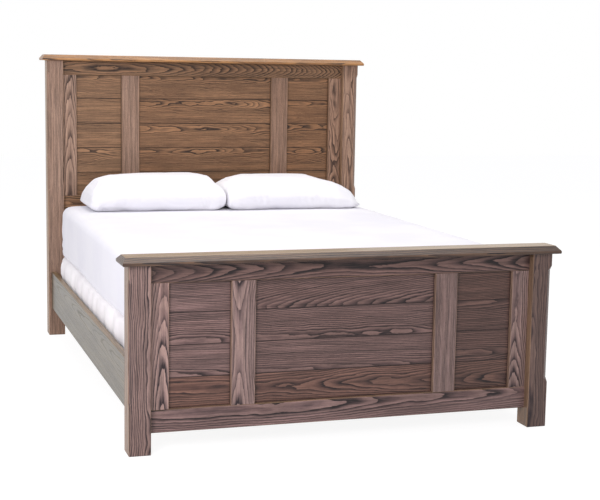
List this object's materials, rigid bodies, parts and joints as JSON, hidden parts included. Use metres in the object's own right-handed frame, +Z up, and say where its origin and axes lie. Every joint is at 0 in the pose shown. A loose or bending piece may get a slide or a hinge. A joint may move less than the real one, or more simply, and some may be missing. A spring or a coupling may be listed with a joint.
{
  "type": "panel bed",
  "caption": "Queen panel bed in dark glazed oak: frame-and-panel headboard and footboard under bevelled caps, hook-on side rails, slats, foundation, mattress in a fitted sheet and pillows.",
  "frame": {"origin": "on the floor, under the middle of the bed's width and length", "axes": "+X across the bed, to the right as seen from the foot; +Y along the bed, from the footboard to the headboard; +Z up"},
  "size_m": [1.69, 2.326, 1.414],
  "materials": {
    "oak_posts": "brown glazed open-grain oak, satin, grain upright",
    "oak_rails": "brown glazed open-grain oak, satin, grain along the rail",
    "oak_uprights": "brown glazed open-grain oak, satin, grain upright",
    "oak_panels": "brown glazed open-grain oak boards, satin, grain across the bed",
    "oak_caps": "brown glazed open-grain oak, satin, grain along the cap",
    "slat_wood": "bare softwood",
    "beech_dowels": "bare beech",
    "zinc_steel": "zinc plated",
    "foundation_cloth": "woven ticking",
    "cover_cloth": "plain white cotton",
    "mattress_cloth": "woven ticking",
    "sheet_cloth": "plain white cotton",
    "pillow_cloth": "plain white cotton"
  },
  "bodies": {
    "bed_frame": {"foot_post_left": "oak_posts", "foot_post_right": "oak_posts", "foot_top_rail": "oak_rails", "foot_bottom_rail": "oak_rails", "foot_stile_left": "oak_uprights", "foot_stile_right": "oak_uprights", "foot_mullion_left": "oak_uprights", "foot_mullion_right": "oak_uprights", "foot_panel_left": "oak_panels", "foot_panel_centre": "oak_panels", "foot_panel_right": "oak_panels", "foot_cap": "oak_caps", "foot_cap_dowels": "beech_dowels", "head_post_left": "oak_posts", "head_post_right": "oak_posts", "head_top_rail": "oak_rails", "head_bottom_rail": "oak_rails", "head_stile_left": "oak_uprights", "head_stile_right": "oak_uprights", "head_mullion_left": "oak_uprights", "head_mullion_right": "oak_uprights", "head_panel_left": "oak_panels", "head_panel_centre": "oak_panels", "head_panel_right": "oak_panels", "head_cap": "oak_caps", "head_cap_dowels": "beech_dowels", "side_rail_left": "oak_rails", "slat_cleat_left": "slat_wood", "foot_hook_plate_left": "zinc_steel", "foot_strike_plate_left": "zinc_steel", "head_hook_plate_left": "zinc_steel", "head_strike_plate_left": "zinc_steel", "side_rail_right": "oak_rails", "slat_cleat_right": "slat_wood", "foot_hook_plate_right": "zinc_steel", "foot_strike_plate_right": "zinc_steel", "head_hook_plate_right": "zinc_steel", "head_strike_plate_right": "zinc_steel", "slat_1": "slat_wood", "slat_2": "slat_wood", "slat_3": "slat_wood", "slat_4": "slat_wood", "slat_5": "slat_wood", "centre_leg_1": "slat_wood", "centre_leg_2": "slat_wood", "centre_leg_3": "slat_wood", "hook_plate_screws": "zinc_steel", "strike_plate_screws": "zinc_steel", "cleat_screws": "zinc_steel", "slat_screws": "zinc_steel", "leg_screws": "zinc_steel"},
    "foundation": {"foundation": "foundation_cloth", "foundation_cover": "cover_cloth"},
    "mattress": {"mattress": "mattress_cloth", "fitted_sheet": "sheet_cloth"},
    "pillow_left": {"pillow_left": "pillow_cloth"},
    "pillow_right": {"pillow_right": "pillow_cloth"}
  },
  "joints": [
    {"name": "foundation_lift", "type": "slide", "parent": "bed_frame", "child": "foundation", "axis": [0, 0, 1], "range_m": [0, 0.53]},
    {"name": "mattress_lift", "type": "slide", "parent": "foundation", "child": "mattress", "axis": [0, 0, 1], "range_m": [0, 0.3]},
    {"name": "pillow_left_lift", "type": "slide", "parent": "mattress", "child": "pillow_left", "axis": [0, 0, 1], "range_m": [0, 0.3]},
    {"name": "pillow_right_lift", "type": "slide", "parent": "mattress", "child": "pillow_right", "axis": [0, 0, 1], "range_m": [0, 0.3]}
  ]
}
